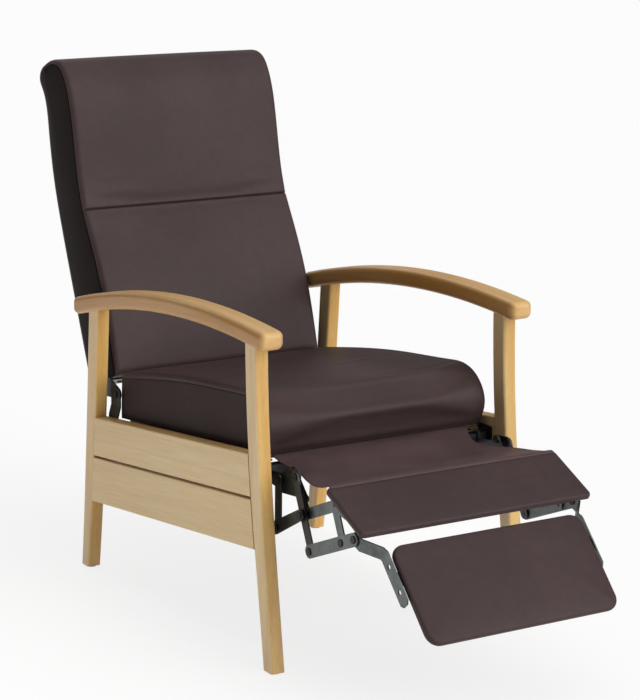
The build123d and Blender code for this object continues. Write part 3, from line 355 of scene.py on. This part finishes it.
def beech(name, grain, face, edge, coat=0.25):
    """Varnished beech with fibres along grain's first axis; face tints the sides turned towards X, edge the
    rest: painted light, the tint set by which way a face looks in the world.
    """
    s = Shader(name, Coat_Weight=coat, Coat_Roughness=0.24, Specular_IOR_Level=0.25)
    place = grain(s)
    rings = s.noise(s.scaled(place, 1.1, 26.0, 26.0), 1.0, 3.0, 0.55, 0.6)
    fibre = s.noise(s.scaled(place, 9.0, 420.0, 420.0), 1.0, 3.0, 0.6)
    fleck = s.noise(s.scaled(place, 170.0, 1500.0, 1500.0), 1.0, 1.0)
    broad = s.noise(s.scaled(place, 1.5, 5.0, 5.0), 1.0, 2.0)
    # Painted light: the tint follows each face's world normal, so faces turned towards X are coloured apart
    # from those looking front, back, up or down.
    facing = s.node("ShaderNodeSeparateXYZ", Vector=s.node("ShaderNodeNewGeometry").outputs["Normal"])
    x_facing_light_mask = s.span(s.math("ABSOLUTE", facing.outputs[0]), 0.25, 0.85)
    colour = s.mix(x_facing_light_mask, rgb(*edge), rgb(*face))
    colour = s.mix(s.span(rings, 0.35, 0.68, 0.0, 0.55), colour, rgb(228, 196, 150), "MULTIPLY")
    colour = s.mix(s.span(broad, 0.35, 0.7, 0.0, 0.3), colour, rgb(216, 190, 146))
    colour = s.mix(s.span(fibre, 0.4, 0.75, 0.0, 0.4), colour, rgb(226, 196, 150), "MULTIPLY")
    colour = s.mix(s.span(fleck, 0.66, 0.74, 0.0, 0.4), colour, rgb(150, 112, 68))
    s.set("Base Color", colour)
    s.set("Roughness", s.span(fibre, 0.3, 0.8, 0.34, 0.46))
    s.set("Normal", s.bump(s.math("ADD", fibre, s.math("MULTIPLY", fleck, 0.4)), 0.0002, 0.3))
    return s.material


def grain_up(s):
    return s.node("ShaderNodeMapping", Vector=s.place, Rotation=(0, radians(90), 0)).outputs[0]


BOARD_SLOPE = radians(6.3)  # the side boards fall rearwards


def grain_board(s):
    made = s.node("ShaderNodeMapping", Vector=s.place, Rotation=(BOARD_SLOPE, 0, 0))
    return s.node("ShaderNodeMapping", Vector=made.outputs[0], Rotation=(0, 0, radians(-90))).outputs[0]


ARCH_CENTRE = (-0.100, -1.4315)  # y and z of the armrests' arch
ARCH_RADIUS = 2.1


def grain_arch(s):
    """Fibres that follow the armrest's arch: along the arc, across, and outwards from its centre."""
    split = s.node("ShaderNodeSeparateXYZ", Vector=s.place)
    y = s.math("SUBTRACT", split.outputs[1], ARCH_CENTRE[0])
    z = s.math("SUBTRACT", split.outputs[2], ARCH_CENTRE[1])
    arc = s.math("MULTIPLY", s.math("ARCTAN2", y, z), ARCH_RADIUS)
    out = s.node("ShaderNodeVectorMath", {"operation": "LENGTH"})
    flat = s.node("ShaderNodeCombineXYZ", X=0.0, Y=y, Z=z)
    s.join(out.inputs[0], flat.outputs[0])
    return s.node("ShaderNodeCombineXYZ", X=arc, Y=split.outputs[0], Z=out.outputs["Value"]).outputs[0]


def raw_wood():
    s = Shader("raw_wood", Roughness=0.75)
    fibre = s.noise(s.scaled(s.place, 200.0, 8.0, 200.0), 1.0, 3.0, 0.6)
    colour = s.mix(s.span(fibre, 0.3, 0.75), rgb(196, 164, 120), rgb(168, 134, 90))
    s.set("Base Color", colour)
    s.set("Roughness", s.span(fibre, 0.3, 0.8, 0.65, 0.85))
    s.set("Normal", s.bump(fibre, 0.0004, 0.5))
    return s.material


def cloth_lining(name, colour, thread, pitch=0.0011):
    """A thin woven or felted cover with its threads along X and Y."""
    s = Shader(name, Roughness=0.85)
    split = s.node("ShaderNodeSeparateXYZ", Vector=s.place)
    waves = [s.math("SINE", s.math("MULTIPLY", split.outputs[k], 2 * pi / pitch)) for k in (0, 1, 2)]
    weave = s.math("MAXIMUM", waves[0], s.math("MAXIMUM", waves[1], waves[2]))
    fuzz = s.noise(s.place, 300.0, 3.0, 0.6)
    s.set("Base Color", s.mix(s.span(fuzz, 0.3, 0.75), colour, thread))
    s.set("Roughness", s.span(fuzz, 0.3, 0.8, 0.78, 0.92))
    s.set("Normal", s.bump(s.math("ADD", s.math("MULTIPLY", weave, 0.3), fuzz), 0.0004, 0.5))
    return s.material


def powder_coat():
    s = Shader("powder_coat", Metallic=0.0, Specular_IOR_Level=0.5)
    peel = s.noise(s.place, 900.0, 2.0)
    dust = s.noise(s.place, 30.0, 4.0, 0.6)
    s.set("Base Color", s.mix(s.span(dust, 0.45, 0.8), rgb(19, 20, 20), rgb(30, 31, 31)))
    s.set("Roughness", s.span(dust, 0.3, 0.8, 0.36, 0.5))
    s.set("Normal", s.bump(peel, 0.00012, 0.4))
    return s.material


def zinc():
    s = Shader("zinc_plate", Metallic=1.0)
    cloud = s.noise(s.place, 45.0, 4.0, 0.65)
    fine = s.noise(s.scaled(s.place, 900.0, 120.0, 120.0), 1.0, 3.0)
    s.set("Base Color", s.mix(s.span(cloud, 0.3, 0.75), rgb(84, 88, 87), rgb(114, 118, 117)))
    s.set("Roughness", s.span(s.math("ADD", cloud, s.math("MULTIPLY", fine, 0.4)), 0.4, 1.1, 0.34, 0.55))
    s.set("Normal", s.bump(fine, 0.00008, 0.4))
    return s.material


def black_zinc():
    s = Shader("black_fastener", Metallic=0.7)
    cloud = s.noise(s.place, 160.0, 3.0)
    s.set("Base Color", s.mix(s.span(cloud, 0.3, 0.75), rgb(26, 26, 27), rgb(48, 47, 46)))
    s.set("Roughness", s.span(cloud, 0.3, 0.8, 0.3, 0.48))
    s.set("Normal", s.bump(s.noise(s.place, 1200.0, 2.0), 0.00006, 0.4))
    return s.material


def moulded():
    s = Shader("moulded_glide", Specular_IOR_Level=0.4)
    cloud = s.noise(s.place, 90.0, 3.0)
    s.set("Base Color", s.mix(s.span(cloud, 0.3, 0.75), rgb(44, 38, 33), rgb(60, 52, 45)))
    s.set("Roughness", s.span(cloud, 0.3, 0.8, 0.5, 0.65))
    s.set("Normal", s.bump(s.noise(s.place, 700.0, 2.0), 0.0001, 0.4))
    return s.material


# Darker, duller copies of the leatherette for the side faces: painted shade, the flanks darker than the
# panels because of how light falls on them.
back_sides_painted_shade = leatherette("leatherette_sides_painted_shade", rgb(26, 18, 17), rgb(34, 25, 24), rgb(22, 16, 15), 0.03)
seat_sides_painted_shade = leatherette("leatherette_seat_sides_painted_shade", rgb(50, 39, 37), rgb(59, 47, 45), rgb(42, 32, 30), 0.05)
finishes = {
    # The face and edge tints are painted light by facing; the armrest's darker face tint is painted shade on
    # its sides.
    "beech_up": beech("beech_up", grain_up, (206, 182, 140), (216, 177, 104)),
    "beech_board": beech("beech_board", grain_board, (203, 181, 136), (206, 170, 112)),
    "beech_arch": beech("beech_arch", grain_arch, (164, 120, 62), (216, 177, 118), 0.12),
    "frame_wood": raw_wood(),
    "pad_board": cloth_lining("pad_lining", rgb(30, 28, 28), rgb(44, 41, 40)),
    "webbing": cloth_lining("webbing_weave", rgb(34, 32, 31), rgb(58, 54, 50), 0.0024),
    "dust_cover": cloth_lining("dust_cover_felt", rgb(26, 26, 27), rgb(40, 40, 41), 0.0009),
    "black_steel": powder_coat(),
    "zinc_steel": zinc(),
    "fastener": black_zinc(),
    "glide": moulded(),
    # The apron's leatherette is a lighter copy of the upholstery: painted light, lifting the flap that lies
    # in the seat's shade.
    "apron": leatherette("leatherette_apron_painted_light", rgb(80, 63, 64), rgb(88, 70, 71), rgb(68, 52, 53), 0.18),
    "upholstery": leatherette("leatherette", rgb(63, 49, 49), rgb(71, 56, 56), rgb(53, 40, 40), 0.15),
}
SPECIAL = (
    ("front_leg", "beech_up"),
    ("rear_leg", "beech_up"),
    ("armrest", "beech_arch"),
    ("seat_dust", "dust_cover"),
)
slots = {row["node"]: row["material_slot"] for row in frame["record"]["subparts"]}
for name, node in nodes.items():
    finish = slots[name]
    if finish == "beech":
        finish = "beech_board"
    for start, special in SPECIAL:
        if name.startswith(start):
            finish = special
    for slot in node.material_slots:
        slot.material = finishes[finish]


def dress(piece, body, replaced=(), finish="upholstery", painted_shade_sides=back_sides_painted_shade):
    """Gives a new upholstery piece its finish, a darker copy of the leatherette as painted shade on its side
    faces, its body and the nodes that it stands for.
    """
    piece.data.materials.append(finishes[finish])
    if any(face.material_index for face in piece.data.polygons):
        piece.data.materials.append(painted_shade_sides)
    if replaced:
        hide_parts(*replaced)
    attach(piece, body)


# ---- seat cushion ----
RAIL_START = (-4.0, 397.0)  # a point on the mechanism rail's upper edge
RAIL_SLOPE = radians(5.4)
SEAT_FRAME_THICKNESS = 42.0
SEAT_FRAME_GAP = 2.6
SEAT_FRAME_ENDS = (677.2, 147.8)  # depths of its rear and front ends
SEAT_FRAME_HALF = 246.3
SEAT_HALF = 255.0
SEAT_CLOTH = (4.0, 12.0, 6.0)


def rail_line(depth):
    """Height of the mechanism rail, on which the seat frame lies."""
    return RAIL_START[1] - (depth - RAIL_START[0]) * tan(RAIL_SLOPE)


seat_top = spline(
    [
        (694, 444),
        (402.5, 493),
        (217, 512),
        (160, 513),
        (115, 489),
        (97, 455),
        (106, 419),
        (124, 395),
    ]
)
seat_bottom = np.array([(694, 345.6), (187, 398), (149, 397), (124, 395)], float)


def seat_rails(pitch, fine):
    """Matching points of the seat's top and underside, from the rear round the rolled front."""
    run_top, run_low = run_of(seat_top), run_of(seat_bottom)
    nose = np.interp(-160, -seat_top[:400, 0], run_top[:400])
    keys_top = [0, nose, run_top[-1] - 11]
    keys_low = [0, 534, run_low[-1]]
    frame_ends = [np.interp(-d, -seat_bottom[:, 0], run_low) for d in SEAT_FRAME_ENDS]
    tight = [0, *np.interp(frame_ends, keys_low, keys_top)]
    s = spread(0, keys_top[-1], pitch, tight, fine)
    low = np.interp(s, keys_top, keys_low)
    return s, along(seat_top, s), along(seat_bottom, low)


def seat_form(pitch, fine, across):
    s, a, b = seat_rails(pitch, fine)
    inner, outer = SEAT_FRAME_HALF - 0.3, SEAT_FRAME_HALF + 0.3
    rim = np.array([-outer, -inner, -200, -120, -40, 40, 120, 200, inner, outer])
    form = Ladder(a, b, SEAT_HALF, 12.0, across, 4, 8, rim)
    back = form.back_columns()
    depth = form.side[:, back, 0]
    rear_end, front_end = SEAT_FRAME_ENDS
    inside = (depth > front_end - 0.2) & (depth < rear_end + 0.2)
    inside &= np.abs(form.x[:, back]) < SEAT_FRAME_HALF
    top = rail_line(depth) + (SEAT_FRAME_THICKNESS + SEAT_FRAME_GAP) / cos(RAIL_SLOPE)
    form.side[:, back, 1] = np.where(inside, np.maximum(top, form.side[:, back, 1]), form.side[:, back, 1])
    return s, form


def held_points(form):
    """Cloth is held everywhere but on the panel's inside."""
    held = np.ones(form.x.shape)
    held[2:-2, 1 : form.panel - 1] = 0
    return held


def swollen_form(make, pressure, cap, crown):
    """A form at full detail whose panel carries the cloth's swelling, worked out on a coarse one."""
    coarse_across = np.linspace(-1, 1, 45)
    s, form = make(11.0, 11.0, coarse_across)
    moved = swell(form, held_points(form), pressure, cap)
    edge = spread(0, 1, 0.02, (0,), 0.004)
    fine_across = np.unique(np.round(np.concatenate([edge - 1, 1 - edge]), 6))
    s_fine, fine = make(5.0, 1.5, fine_across)
    field = cubic(s, moved, s_fine)
    field = np.swapaxes(cubic(coarse_across, np.swapaxes(field, 0, 1), fine_across), 0, 1)
    fine.x[:, : fine.panel] += field[..., 0]
    fine.side[:, : fine.panel] += field[..., 1:]
    return s_fine, fine_across, fine


def shape_flanks(form, tuck, swing, depth=1.3):
    """Curves both flanks out from the seam where the panel's rounded edge ends, and sinks the seam line."""
    for columns, sign in zip(form.flank_columns(), (1, -1)):
        ordered = columns if sign > 0 else columns[::-1]
        reach = form.reach[:, ordered] - form.reach[:, ordered[form.turn - 1]][:, None]
        g = np.clip(reach / reach[:, -1:], 0, 1)
        ease = np.clip(1 + reach / 11.0, 0, 1)
        sink = depth * np.exp(-((reach / 1.2) ** 2))
        form.x[:, ordered] += sign * (swing * (1 - (1 - g) ** 2) - tuck * ease - sink)


def sink_rows(form, amount):
    """Moves the panel's rows inwards by an amount for each row, fading out over its rounded edges."""
    weight = np.clip(1 - form.reach / 16.0, 0, 1)
    weight[:, form.back_columns()] = 0
    form.side += form.inward[:, None, :] * (amount[:, None] * weight)[..., None]


def seam_valley(d):
    """How far cloth is drawn in at a distance from a sewn cross seam."""
    return 4.6 * np.exp(-((d / 2.0) ** 2)) + 1.8 * np.exp(-((d / 14.0) ** 2))


def rolled_end(d, radius):
    """How far a rounded end drops at a distance from it."""
    return radius - np.sqrt(radius**2 - np.clip(radius - d, 0, radius) ** 2)


def bow_rows(form, fractions, d, amount):
    """Lets the rows beside a cross seam hang lower in the panel's middle."""
    panel = form.side[:, : form.panel]
    way = np.gradient(panel, axis=0)
    way /= np.linalg.norm(way, axis=-1, keepdims=True)
    share = (1 - fractions**2)[None, :] * np.exp(-((d / 45.0) ** 2))[:, None]
    panel -= way * (amount * share)[..., None]


_, _, seat = swollen_form(seat_form, *SEAT_CLOTH)
shape_flanks(seat, 1.0, 2.0)
# The seat's flanks take their own darker leatherette copy, painted shade.
dress(seat.build("seat_cushion_cover"), "frame", ["seat_cushion"], painted_shade_sides=seat_sides_painted_shade)

# ---- back, in its own directions: t rearwards, s upwards ----
LEAN = radians(22.0)
BACK_FOOT = (728, 429)  # side-view place of t = 0, s = 0
BACK_HALF = 252.0
SEAM_S = 361.0  # the cross seam under the head roll
SPLIT_T = 64.0  # the plane between the front cushions and the rear cover
FRAME_TOP_S = 602.5
FRONT_CLOTH = (4.0, 12.0, 6.0)
REAR_CLOTH = (2.0, 5.0, 2.0)
FRONT_ROOM = (240.6, -2.6)  # half width and recess of the room for the back frame
REAR_ROOM = (242.8, 22.8)
TUCK, SWING = 0.8, 2.8
back_profile = spline(
    [
        (-6, 0),
        (-18, 170),
        (-8, 289),
        (2, 372),
        (-6, 460),
        (-24, 560),
        (-27, 630),
        (-10, 678),
        (30, 699),
        (70, 701),
        (98, 692),
        (106, 678),
        (101, 655),
        (98, 630),
        (110, 560),
        (128, 460),
        (134, 340),
        (134, 180),
        (134, 0),
    ],
    1600,
)


def from_back(points):
    """Side-view depth and height of points given as t and s."""
    t, s = points[..., 0], points[..., 1]
    depth = BACK_FOOT[0] + t * cos(LEAN) + s * sin(LEAN)
    height = BACK_FOOT[1] - t * sin(LEAN) + s * cos(LEAN)
    return np.stack([depth, height], -1)


crest = int(np.argmax(back_profile[:, 0] * (back_profile[:, 1] > 690) >= SPLIT_T))
seam_at = int(np.argmax(back_profile[:, 1] >= SEAM_S))
front_low = back_profile[: seam_at + 1]
front_top = back_profile[seam_at : crest + 1]
rear_line = back_profile[crest:][::-1]


def back_form(rail_a, rail_b, half_back, recess):
    """A maker of one part of the back, between a stretch of its profile and the split plane."""

    def make(pitch, fine, across):
        run = run_of(rail_a)
        s = spread(0, run[-1], pitch, (0, run[-1]), fine)
        a = along(rail_a, s)
        low = np.interp(s, [0, rail_b[1][0], run[-1]], [rail_b[0][1], rail_b[1][1], rail_b[2][1]])
        b = np.stack([np.full_like(s, SPLIT_T), low], -1)
        rim = np.array([-half_back, -half_back + 0.6, -160, -60, 60, 160, half_back - 0.6, half_back])
        form = Ladder(a, b, BACK_HALF, 11.0, across, 4, 7, rim)
        back = form.back_columns()
        inside = (np.abs(form.x[:, back]) < half_back - 0.3) & (form.side[:, back, 1] < FRAME_TOP_S)
        form.side[:, back, 0] += np.where(inside, recess, 0)
        form.side = from_back(form.side)
        form.inward = form.inward @ np.array([[cos(LEAN), -sin(LEAN)], [sin(LEAN), cos(LEAN)]])
        return s, form

    return make


run_low, run_top, run_rear = (run_of(line)[-1] for line in (front_low, front_top, rear_line))
lower = back_form(front_low, [(0, 0), (run_low / 2, SEAM_S / 2), (run_low, SEAM_S)], *FRONT_ROOM)
upper = back_form(front_top, [(0, SEAM_S), (272, 600), (run_top, 690)], *FRONT_ROOM)
rear = back_form(rear_line, [(0, 0), (600, 590), (run_rear, 690)], *REAR_ROOM)
s, fractions, part = swollen_form(lower, *FRONT_CLOTH)
sink_rows(part, seam_valley(run_low - s) + rolled_end(s, 14.0))
bow_rows(part, fractions, run_low - s, 2.5)
shape_flanks(part, TUCK, SWING)
dress(part.build("back_lower_cover"), "backrest", ["backrest_lower_cushion"])
s, fractions, part = swollen_form(upper, *FRONT_CLOTH)
sink_rows(part, seam_valley(s))
bow_rows(part, fractions, s, 2.5)
shape_flanks(part, TUCK, SWING)
dress(part.build("back_head_cover"), "backrest", ["backrest_upper_cushion"])
_, _, part = swollen_form(rear, *REAR_CLOTH)
shape_flanks(part, TUCK, SWING, 0.8)
dress(part.build("back_rear_cover"), "backrest", ["back_cover"])


# ---- footrest pads ----
def rounded_outline(width, length, radius, inset, count):
    """Points round a rectangle with round corners, moved inwards."""
    r = max(radius - inset, 0.8)
    w, l = width / 2 - inset, length / 2 - inset
    points = []
    for k, (sx, sy) in enumerate(((1, 1), (-1, 1), (-1, -1), (1, -1))):
        for i in range(7):
            angle = radians(90 * k + 90 * i / 6)
            points.append((sx * (w - r) + r * cos(angle), sy * (l - r) + r * sin(angle)))
    corners = np.array(points + points[:1])
    dense = []
    for i, (p, q) in enumerate(zip(corners[:-1], corners[1:])):
        steps = count if i % 7 == 6 else 1
        dense += [p + (q - p) * k / steps for k in range(steps)]
    return np.array(dense)


def pad_cover(name, width, length, radius, start, slope, crown, thickness=12.0):
    """A thin padded board cover: its edge rolls over a foam edge and its face is lightly crowned."""
    rows = [(3.0, -thickness), (0.4, -thickness + 0.6), (0.0, -thickness + 3), (0.0, -6.0), (0.6, -3.6)]
    rows += [(1.8, -1.7), (3.6, -0.6), (6.0, 0.0)]
    rows += [(d, crown * (1 - np.exp(-(d - 6) / 26))) for d in (9, 13, 18, 25, 33, 42, 52, 62)]
    deepest = min(width, length) / 2 - 3
    rows = [row for row in rows if row[0] < deepest] + [(deepest, crown)]
    lean = radians(slope)
    points = []
    for inset, lift in rows:
        ring = rounded_outline(width, length, radius, inset, 24)
        down = length / 2 - ring[:, 1]
        depth = start[0] - down * cos(lean) - lift * sin(lean)
        height = start[1] - down * sin(lean) + lift * cos(lean)
        points.append(world(ring[:, 0], np.stack([depth, height], -1)))
    around = len(points[0])
    faces = tube_faces(len(points), around, closed=True)
    return mesh_object(name, np.concatenate(points), faces)


CALF_EDGE = (-121.7, 397.0)  # the calf pad's rear edge in the side view
CALF_SLOPE = 25.3
calf = pad_cover("calf_pad_cover", 521.0, 135.7, 10.0, CALF_EDGE, CALF_SLOPE, 2.5)
dress(calf, "calf_rest", ["calf_pad"])
foot = pad_cover("foot_pad_cover", 426.0, 201.0, 26.0, (-265.0, 316.0), 47.0, 5.0)
dress(foot, "foot_rest", ["foot_pad"])


# ---- apron ----
APRON_LINE = [(126.0, 394.0), (100.0, 386.6), (50.0, 379.0), (-10.0, 379.4), (-70.0, 387.0), (-121.7, 396.4)]
APRON_LAP = (4, 8)  # distances of its last points along the pad
APRON_DEPTHS = (CALF_EDGE[0], -55.0, 10.0, 76.0, 125.0)
APRON_HALVES = (254.0, 248.0, 228.0, 211.0, 227.0)
APRON_THICKNESS = 0.0018


def apron_sheet():
    """The loose flap between the seat's front and the calf pad, lapped over the pad's rear edge."""
    lean = radians(CALF_SLOPE)
    sheet = spline(APRON_LINE)
    forward, outward = np.array((-cos(lean), -sin(lean))), np.array((-sin(lean), cos(lean)))
    lap = np.array([CALF_EDGE + d * forward + 0.9 * outward for d in APRON_LAP])
    sheet = spline(np.concatenate([sheet[:-1:40], lap]))
    u = np.linspace(0, 1, 90)
    line = along(sheet, u * run_of(sheet)[-1])
    v = np.linspace(-1, 1, 110)
    points = []
    for k, (depth, height) in zip(u, line):
        half = cubic(np.array(APRON_DEPTHS), np.array(APRON_HALVES), np.clip([depth], *APRON_DEPTHS[::4]))[0]
        calm = np.clip(min(k / 0.08, (1 - k) / 0.3), 0, 1)
        fold = 1.9 * np.sin(7.5 * k + 2.6 * v + 0.6) + 1.3 * np.sin(6.0 * v - 9.0 * k)
        fold = fold + 0.7 * np.sin(15 * v + 7 * k)
        droop = 3.0 * np.abs(v) ** 6 * calm
        side = np.stack([np.full_like(v, depth), height + (fold * calm) - droop], -1)
        points.append(world(v * half, side))
    grid = np.array(points)
    faces = []
    for i in range(len(u) - 1):
        for j in range(len(v) - 1):
            a = i * len(v) + j
            faces.append((a, a + 1, a + len(v) + 1, a + len(v)))
    made = mesh_object("apron_flap", grid.reshape(-1, 3), faces)
    thick = made.modifiers.new("thickness", "SOLIDIFY")
    thick.thickness = APRON_THICKNESS
    thick.offset = 0
    return made, run_of(sheet)[-1] * 0.001


def applied(piece):
    """The piece with its modifiers in its mesh."""
    made = bpy.data.meshes.new_from_object(piece.evaluated_get(bpy.context.evaluated_depsgraph_get()))
    piece.modifiers.clear()
    piece.data = made
    return piece


apron, apron_length = apron_sheet()
apron = applied(apron)
# The apron takes the lighter leatherette copy, painted light.
dress(apron, "calf_rest", ["apron"], finish="apron")
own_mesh(apron)

# ---- stage ----
floor_mesh = bpy.data.meshes.new("studio_floor")
floor_mesh.from_pydata([(-30, -30, 0), (30, -30, 0), (30, 30, 0), (-30, 30, 0)], [], [(0, 1, 2, 3)])
floor = bpy.data.objects.new("studio_floor", floor_mesh)
scene.collection.objects.link(floor)


def seen_directly(tree):
    """1 for camera, glossy and transmission rays, for a pale surrounding that adds no light."""
    path = tree.nodes.new("ShaderNodeLightPath")
    total = path.outputs["Is Camera Ray"]
    for name in ("Is Glossy Ray", "Is Transmission Ray"):
        add = tree.nodes.new("ShaderNodeMath")
        add.operation = "MAXIMUM"
        tree.links.new(total, add.inputs[0])
        tree.links.new(path.outputs[name], add.inputs[1])
        total = add.outputs[0]
    return total


ground = bpy.data.materials.new("studio_floor")
ground.use_nodes = True
tree = ground.node_tree
tree.nodes.clear()
diffuse = tree.nodes.new("ShaderNodeBsdfDiffuse")
diffuse.inputs["Color"].default_value = (0.96, 0.96, 0.96, 1)
glow = tree.nodes.new("ShaderNodeEmission")
glow.inputs["Color"].default_value = (1, 1, 1, 1)
share = tree.nodes.new("ShaderNodeMath")
share.operation = "MULTIPLY"
share.inputs[1].default_value = 0.8
tree.links.new(seen_directly(tree), share.inputs[0])
blend = tree.nodes.new("ShaderNodeMixShader")
tree.links.new(share.outputs[0], blend.inputs[0])
tree.links.new(diffuse.outputs[0], blend.inputs[1])
tree.links.new(glow.outputs[0], blend.inputs[2])
tree.links.new(blend.outputs[0], tree.nodes.new("ShaderNodeOutputMaterial").inputs[0])
floor_mesh.materials.append(ground)

scene.world = bpy.data.worlds.new("studio")
scene.world.use_nodes = True
tree = scene.world.node_tree
tree.nodes.clear()
plain = tree.nodes.new("ShaderNodeBackground")
plain.inputs["Strength"].default_value = 0.13
white = tree.nodes.new("ShaderNodeBackground")
white.inputs["Color"].default_value = (1, 1, 1, 1)
plain.inputs["Color"].default_value = (1, 1, 1, 1)
blend = tree.nodes.new("ShaderNodeMixShader")
path = tree.nodes.new("ShaderNodeLightPath")
tree.links.new(path.outputs["Is Camera Ray"], blend.inputs[0])
tree.links.new(plain.outputs[0], blend.inputs[1])
tree.links.new(white.outputs[0], blend.inputs[2])
tree.links.new(blend.outputs[0], tree.nodes.new("ShaderNodeOutputWorld").inputs[0])


def lamp(name, kind, towards, power, place=(0, 0, 0), **shape):
    """A lamp that shines from the direction towards; it never shows itself."""
    light = bpy.data.lights.new(name, kind)
    light.energy = power
    for key, value in shape.items():
        setattr(light, key, value)
    made = bpy.data.objects.new(name, light)
    scene.collection.objects.link(made)
    made.location = place
    made.rotation_euler = Vector(towards).to_track_quat("Z", "Y").to_euler()
    made.visible_camera = False


lamp("front_light", "SUN", (0.42, -0.8, 0.42), 0.72 * pi, angle=radians(50))
lamp("top_light", "SUN", (0.1, -0.1, 1), 0.38 * pi, angle=radians(60))
lamp("rear_light", "SUN", (0.1, 0.9, 0.6), 0.15 * pi, angle=radians(50))
low = {"shape": "RECTANGLE", "size": 2.6, "size_y": 0.2}
lamp("low_light", "AREA", (-1, -0.05, -0.15), 7.5, (-1.7, -0.1, 0.12), **low)

# ---- camera ----
AIM = Vector((0.0048, -0.038, 0.4485))
DISTANCE = 4.8731
azimuth, elevation, roll = radians(-32.161), radians(13.713), radians(0.566)
back = Vector((sin(azimuth) * cos(elevation), -cos(azimuth) * cos(elevation), sin(elevation)))
right = (-back).cross(Vector((0, 0, 1))).normalized()
up = right.cross(-back)
right, up = right * cos(roll) + up * sin(roll), up * cos(roll) - right * sin(roll)
lens = bpy.data.cameras.new("photo_camera")
lens.lens = 124.41
lens.shift_x = -0.00955
lens.shift_y = 0.06357
camera = bpy.data.objects.new("photo_camera", lens)
scene.collection.objects.link(camera)
turned = Matrix((right, up, back)).transposed().to_4x4()
camera.matrix_world = Matrix.Translation(AIM + back * DISTANCE) @ turned
scene.camera = camera
scene.view_settings.view_transform = "Standard"
